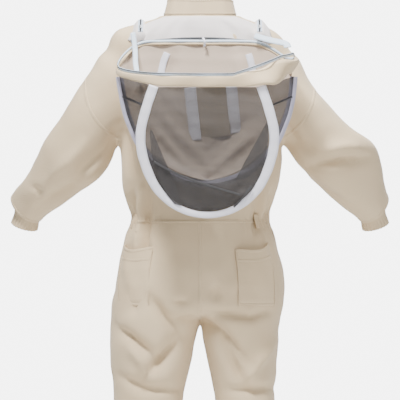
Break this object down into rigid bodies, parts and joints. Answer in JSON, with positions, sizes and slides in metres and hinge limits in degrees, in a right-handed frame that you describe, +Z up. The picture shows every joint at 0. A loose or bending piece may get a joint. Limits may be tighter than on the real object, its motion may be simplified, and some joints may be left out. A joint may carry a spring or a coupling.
{
  "type": "beekeeping suit",
  "caption": "Zipped cotton coverall with elasticated waist, cuffs and ankles, hip pockets, and a hooped veil hood that folds back on a hinge line at the nape.",
  "frame": {"origin": "middle of the neckline, at the base of the collar, where the suit hangs from its wearer", "axes": "+Z up from the hems to the neck, +Y the way the wearer faces, +X to the wearer's right hand"},
  "size_m": [1.059, 0.5448, 1.57],
  "materials": {
    "twill": "matt khaki cotton twill",
    "pale_twill": "matt pale khaki cotton twill",
    "white_tape": "white woven binding",
    "blue_tape": "pale blue woven zip tape",
    "netting": "dark open knitted netting",
    "spring_steel": "bright sprung wire",
    "zip_metal": "satin cast zip metal",
    "zip_teeth": "moulded grey teeth"
  },
  "bodies": {
    "torso": {"bodice_back": "twill", "bodice_front_left": "twill", "bodice_front_right": "twill", "seat_front_left": "twill", "seat_front_right": "twill", "seat_back_left": "twill", "seat_back_right": "twill", "collar": "twill", "nape_flap": "pale_twill", "waist_elastic_left": "twill", "waist_elastic_right": "twill", "hip_pocket_left": "twill", "hip_pocket_right": "twill", "front_zip_tape_left": "blue_tape", "front_zip_tape_right": "blue_tape", "front_zip_teeth_left": "zip_teeth", "front_zip_teeth_right": "zip_teeth", "neck_zip_tape_left": "blue_tape", "neck_zip_tape_right": "blue_tape", "neck_zip_teeth_left": "zip_teeth", "neck_zip_teeth_right": "zip_teeth"},
    "sleeve_left": {"sleeve_left": "twill", "cuff_left": "twill"},
    "sleeve_right": {"sleeve_right": "twill", "cuff_right": "twill"},
    "leg_left": {"leg_front_left": "twill", "leg_back_left": "twill", "ankle_hem_left": "twill"},
    "leg_right": {"leg_front_right": "twill", "leg_back_right": "twill", "ankle_hem_right": "twill"},
    "hood": {"hood_rim_band": "pale_twill", "hood_rim_zip_tape": "blue_tape", "front_hoop_tape": "white_tape", "front_hoop_rod": "spring_steel", "rear_hoop_tape": "white_tape", "rear_hoop_rod": "spring_steel", "hood_side_net": "netting", "hood_face_net": "netting", "hood_back_panel": "twill"},
    "front_slider": {"front_zip_slider": "zip_metal"},
    "front_pull": {"front_zip_pull": "zip_metal"},
    "neck_slider_left": {"neck_zip_slider_left": "zip_metal"},
    "neck_slider_right": {"neck_zip_slider_right": "zip_metal"}
  },
  "joints": [
    {"name": "hood_flip", "type": "hinge", "parent": "torso", "child": "hood", "pos_m": [0, -0.118, -0.069], "axis": [-1, 0, 0], "range_deg": [0, 165]},
    {"name": "raise_sleeve_left", "type": "hinge", "parent": "torso", "child": "sleeve_left", "pos_m": [-0.15, 0, -0.19], "axis": [0, 1, 0], "range_deg": [0, 45]},
    {"name": "raise_sleeve_right", "type": "hinge", "parent": "torso", "child": "sleeve_right", "pos_m": [0.15, 0, -0.19], "axis": [0, -1, 0], "range_deg": [0, 45]},
    {"name": "swing_leg_left", "type": "hinge", "parent": "torso", "child": "leg_left", "pos_m": [-0.118, -0.005, -0.745], "axis": [1, 0, 0], "range_deg": [-20, 40]},
    {"name": "swing_leg_right", "type": "hinge", "parent": "torso", "child": "leg_right", "pos_m": [0.118, -0.005, -0.745], "axis": [1, 0, 0], "range_deg": [-20, 40]},
    {"name": "front_zip", "type": "slide", "parent": "torso", "child": "front_slider", "axis": [0, 0.0718, -0.9974], "range_m": [0, 0.69]},
    {"name": "front_pull", "type": "hinge", "parent": "front_slider", "child": "front_pull", "pos_m": [0, 0.0925, -0.014], "axis": [1, 0, 0], "range_deg": [0, 150]},
    {"name": "neck_zip_left", "type": "hinge", "parent": "torso", "child": "neck_slider_left", "pos_m": [-0.164, -0.008, -0.125], "axis": [-1, 0, 0], "range_deg": [0, 76]},
    {"name": "neck_zip_right", "type": "hinge", "parent": "torso", "child": "neck_slider_right", "pos_m": [0.164, -0.008, -0.125], "axis": [-1, 0, 0], "range_deg": [0, 76]}
  ]
}
